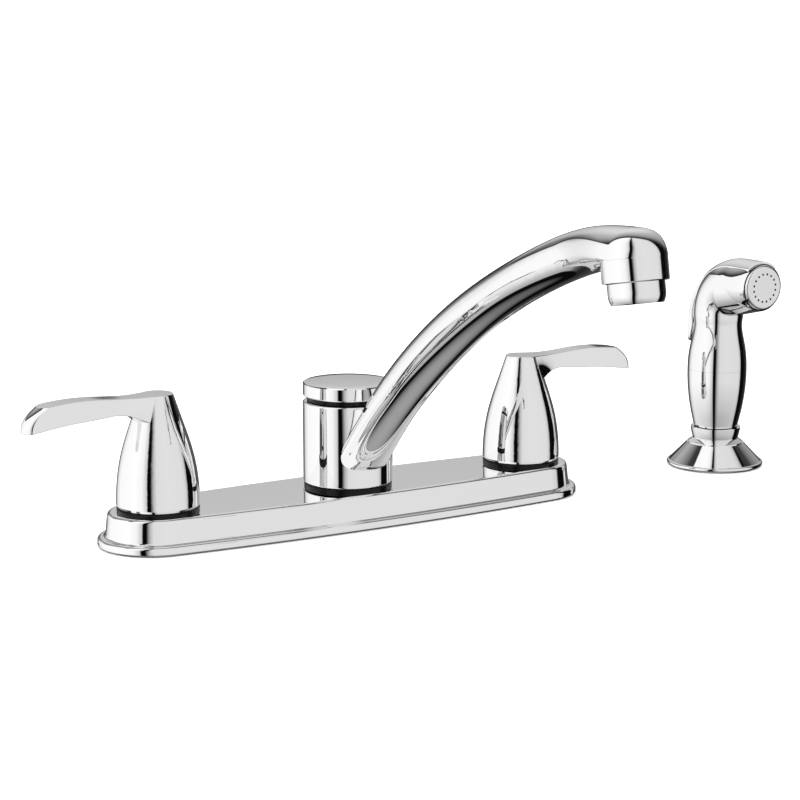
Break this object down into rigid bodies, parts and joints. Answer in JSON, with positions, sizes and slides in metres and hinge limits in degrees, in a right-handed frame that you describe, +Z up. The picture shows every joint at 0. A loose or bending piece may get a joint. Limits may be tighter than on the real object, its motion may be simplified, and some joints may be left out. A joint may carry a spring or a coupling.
{
  "type": "two handle kitchen faucet",
  "caption": "Deck mounted kitchen faucet with a swing spout on an oblong base plate, a lever handle at each side and a separate pull-out side spray in a cone shaped holder.",
  "frame": {"origin": "on top of the sink deck, on the axis of the spout post", "axes": "+X towards the cold handle and the side spray, -Y towards the user, +Z up"},
  "size_m": [0.4219, 0.2714, 0.2211],
  "materials": {
    "chrome": "polished plate",
    "spray_chrome": "polished plate on moulded plastic",
    "face_chrome": "satin plate on plastic",
    "black_plastic": "satin",
    "cast_brass": "machined",
    "copper_tube": "drawn copper",
    "steel": "bright stainless",
    "rubber": "matte",
    "white_plastic": "moulded",
    "grey_plastic": "moulded"
  },
  "bodies": {
    "base": {"centre_body": "cast_brass", "deck_gasket": "rubber", "deck_plate": "chrome", "diverter_guide": "black_plastic", "diverter_seat": "cast_brass", "diverter_spring": "steel", "left_base_ring": "black_plastic", "left_bonnet_nut": "cast_brass", "left_cartridge": "grey_plastic", "left_cartridge_seals": "rubber", "left_mounting_nut": "black_plastic", "left_valve_body": "cast_brass", "left_water_tube": "copper_tube", "lower_bearing": "black_plastic", "retaining_nut": "cast_brass", "right_base_ring": "black_plastic", "right_bonnet_nut": "cast_brass", "right_cartridge": "grey_plastic", "right_cartridge_seals": "rubber", "right_mounting_nut": "black_plastic", "right_valve_body": "cast_brass", "right_water_tube": "copper_tube", "spout_cap": "chrome", "spout_seals": "rubber", "spray_holder": "spray_chrome", "spray_holder_gasket": "rubber", "spray_holder_nut": "black_plastic", "upper_bearing": "black_plastic"},
    "left_lever": {"left_handle": "chrome", "left_stem": "white_plastic", "left_handle_adapter": "white_plastic", "left_set_screw": "steel"},
    "right_lever": {"right_handle": "chrome", "right_stem": "white_plastic", "right_handle_adapter": "white_plastic", "right_set_screw": "steel"},
    "swing_spout": {"spout": "chrome", "aerator_housing": "chrome", "aerator_insert": "white_plastic", "aerator_screen": "steel", "aerator_washer": "rubber"},
    "diverter": {"diverter_plunger": "black_plastic"},
    "hose_end": {"hose_coupling": "cast_brass", "coupling_washer": "rubber"},
    "wand": {"spray_body": "spray_chrome", "spray_grip": "spray_chrome", "spray_face": "face_chrome", "trigger_pin": "steel", "spray_waterway": "white_plastic", "swivel_clip": "steel", "spray_valve_spring": "steel"},
    "wand_trigger": {"spray_trigger": "spray_chrome"},
    "wand_valve": {"spray_valve_stem": "white_plastic", "spray_valve_washer": "rubber"}
  },
  "joints": [
    {"name": "left_lever_turn", "type": "hinge", "parent": "base", "child": "left_lever", "pos_m": [-0.1016, 0, 0.06], "axis": [0, 0, 1], "range_deg": [0, 90]},
    {"name": "right_lever_turn", "type": "hinge", "parent": "base", "child": "right_lever", "pos_m": [0.1016, 0, 0.06], "axis": [0, 0, 1], "range_deg": [-90, 0]},
    {"name": "spout_swing", "type": "hinge", "parent": "base", "child": "swing_spout", "pos_m": [0, 0, 0.04], "axis": [0, 0, 1], "continuous": true},
    {"name": "diverter_lift", "type": "slide", "parent": "base", "child": "diverter", "axis": [0, 0, 1], "range_m": [0, 0.0025], "stiffness_N_per_m": 80, "deforming": ["diverter_spring"]},
    {"name": "wand_lift", "type": "slide", "parent": "base", "child": "hose_end", "axis": [0, 0, 1], "range_m": [0, 0.12]},
    {"name": "wand_swivel", "type": "hinge", "parent": "hose_end", "child": "wand", "pos_m": [0.2286, 0, 0.01], "axis": [0, 0, 1], "continuous": true},
    {"name": "trigger_squeeze", "type": "hinge", "parent": "wand", "child": "wand_trigger", "pos_m": [0.2286, -0.0273, 0.1082], "axis": [-1, 0, 0], "range_deg": [0, 1.3], "stiffness_Nm_per_rad": 1.2},
    {"name": "valve_slide", "type": "slide", "parent": "wand", "child": "wand_valve", "axis": [0, 0, -1], "range_m": [0, 0.00065], "deforming": ["spray_valve_spring"]}
  ],
  "couplings": [
    {"joint": "valve_slide", "follows": "trigger_squeeze", "m_per_rad": 0.0273}
  ]
}
